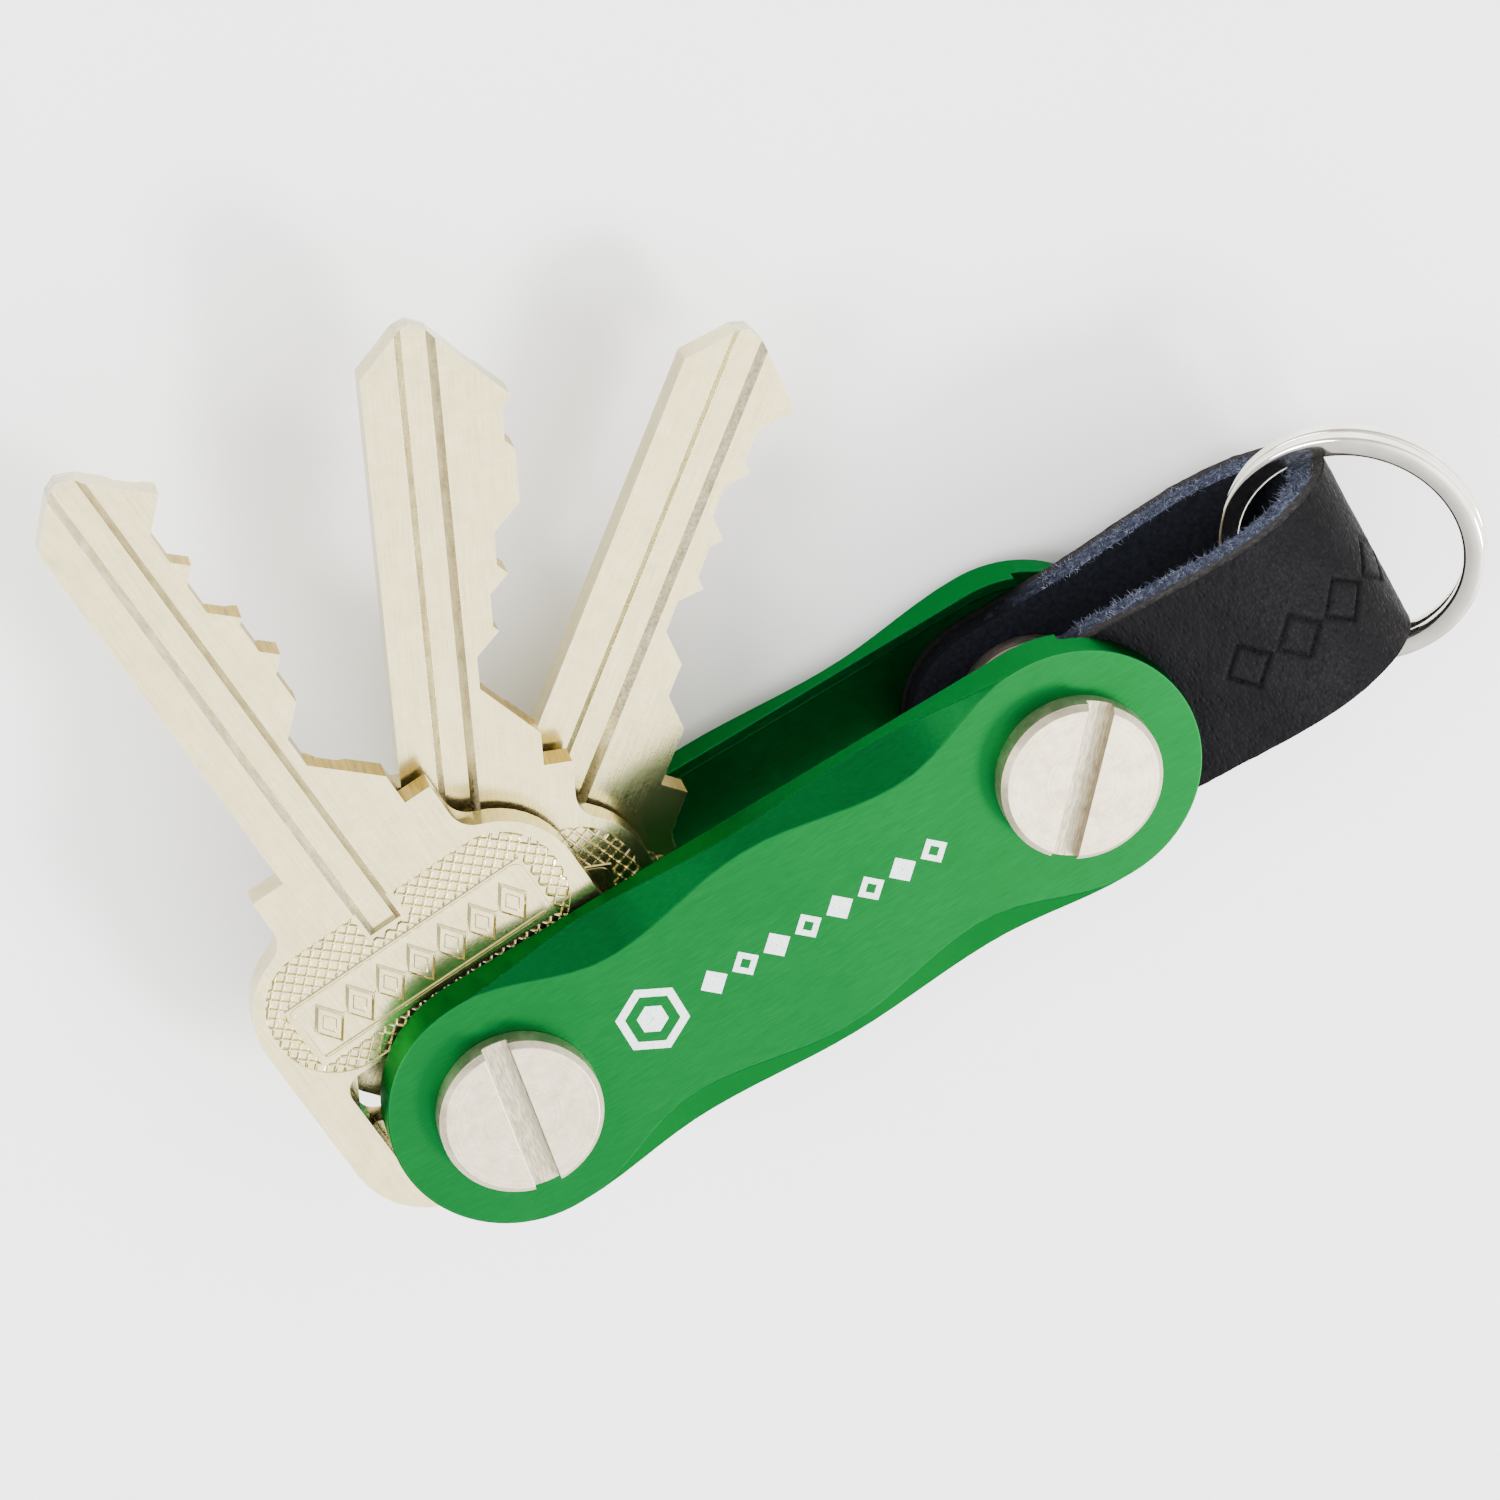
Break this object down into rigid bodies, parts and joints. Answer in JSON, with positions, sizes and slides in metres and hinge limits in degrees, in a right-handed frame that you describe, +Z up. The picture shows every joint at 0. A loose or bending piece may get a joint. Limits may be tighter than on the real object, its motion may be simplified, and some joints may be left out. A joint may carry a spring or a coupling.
{
  "type": "key organiser",
  "caption": "Pocket key organiser: two scalloped plates on screw posts hold fanned house keys, and a leather loop carries a split ring.",
  "frame": {"origin": "on the key post's axis, on the outer face of its rear head, where the organiser lies on a table", "axes": "+X from the key post to the strap post and ring, +Y towards the fanned keys, +Z up, the way the front plate faces"},
  "size_m": [0.0817, 0.058, 0.0194],
  "materials": {
    "anodised_green": "brushed and anodised green",
    "screw_steel": "fine turned",
    "spacer_steel": "plain washed",
    "key_nickel": "nickel-plated brass, satin, raw brass in the cuts",
    "ring_nickel": "polished nickel",
    "strap_leather": "grained, waxed, open cut edge"
  },
  "bodies": {
    "body": {"front_plate": "anodised_green", "back_plate": "anodised_green", "key_screw": "screw_steel", "key_barrel": "screw_steel", "strap_screw": "screw_steel", "strap_barrel": "screw_steel", "front_spacer": "spacer_steel", "front_washer": "spacer_steel", "rear_washer": "spacer_steel", "rear_spacer_inner": "spacer_steel", "rear_spacer_outer": "spacer_steel", "strap": "strap_leather", "strap_spacer_1": "spacer_steel", "strap_spacer_2": "spacer_steel", "strap_spacer_3": "spacer_steel", "strap_spacer_4": "spacer_steel", "strap_spacer_5": "spacer_steel"},
    "front_key": {"front_key": "key_nickel"},
    "middle_key": {"middle_key": "key_nickel"},
    "rear_key": {"rear_key": "key_nickel"},
    "ring": {"split_ring": "ring_nickel"}
  },
  "joints": [
    {"name": "front_key_swing", "type": "hinge", "parent": "body", "child": "front_key", "pos_m": [0, 0, 0.0125], "axis": [0, 0, 1], "range_deg": [-76, 249]},
    {"name": "middle_key_swing", "type": "hinge", "parent": "body", "child": "middle_key", "pos_m": [0, 0, 0.01], "axis": [0, 0, 1], "range_deg": [-50, 279]},
    {"name": "rear_key_swing", "type": "hinge", "parent": "body", "child": "rear_key", "pos_m": [0, 0, 0.0075], "axis": [0, 0, 1], "range_deg": [-29, 304]},
    {"name": "ring_swing", "type": "hinge", "parent": "body", "child": "ring", "pos_m": [0.0604, 0, 0.00932], "axis": [0, 1, 0], "range_deg": [0, 54]}
  ]
}
